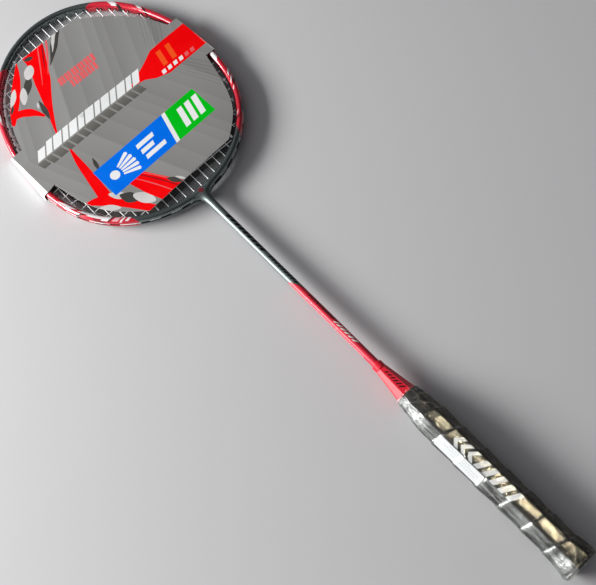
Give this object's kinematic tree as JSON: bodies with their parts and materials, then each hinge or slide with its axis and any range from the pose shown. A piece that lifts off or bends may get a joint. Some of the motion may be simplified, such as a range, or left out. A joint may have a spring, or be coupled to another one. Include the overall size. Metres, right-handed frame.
{
  "type": "badminton racket",
  "caption": "Badminton racket with oval strung head, slim round shaft, faceted handle cone and wrapped octagonal grip, with a printed card sleeve that slides off the head.",
  "frame": {"origin": "centre of the butt end face", "axes": "+Y along the shaft to the tip of the head, +X to the right across the head, +Z square to the string bed"},
  "size_m": [0.203, 0.675, 0.0278],
  "materials": {
    "frame_paint": "gloss painted carbon composite, dark metallic grey-green at the tip and throat, red at the sides",
    "shaft_paint": "gloss painted carbon composite, red next to the handle, dark metallic grey above",
    "cone_plastic": "gloss red plastic",
    "core_plastic": "plain moulded",
    "handle_wood": "bare sanded",
    "cap_plastic": "satin black",
    "badge_plastic": "gloss red",
    "staple_steel": "bright wire",
    "grip_tape": "soft grained black",
    "finish_tape": "satin vinyl",
    "shrink_film": "clear crinkled film",
    "label_paper": "coated white",
    "string_nylon": "smooth white",
    "grommet_nylon": "plain black",
    "card": "metallic grey print with red, white, blue and green blocks"
  },
  "bodies": {
    "racket": {"frame_hoop": "frame_paint", "t_joint_core": "core_plastic", "shaft_tube": "shaft_paint", "handle_cone": "cone_plastic", "handle_core": "handle_wood", "butt_cap": "cap_plastic", "butt_cap_badge": "badge_plastic", "cap_staples": "staple_steel", "grip_staple": "staple_steel", "grip_tape": "grip_tape", "grip_finish_tape": "finish_tape", "grip_film": "shrink_film", "grip_label": "label_paper", "main_string": "string_nylon", "cross_string": "string_nylon", "grommet_strip_top": "grommet_nylon", "grommet_strip_upper_right": "grommet_nylon", "grommet_strip_upper_left": "grommet_nylon", "grommet_strip_side_right": "grommet_nylon", "grommet_strip_side_left": "grommet_nylon", "grommet_strip_lower_right": "grommet_nylon", "grommet_strip_lower_left": "grommet_nylon", "throat_grommets": "grommet_nylon"},
    "display_sleeve": {"display_card": "card"}
  },
  "joints": [
    {"name": "sleeve_slide", "type": "slide", "parent": "racket", "child": "display_sleeve", "axis": [0, 1, 0], "range_m": [0, 0.26]}
  ]
}
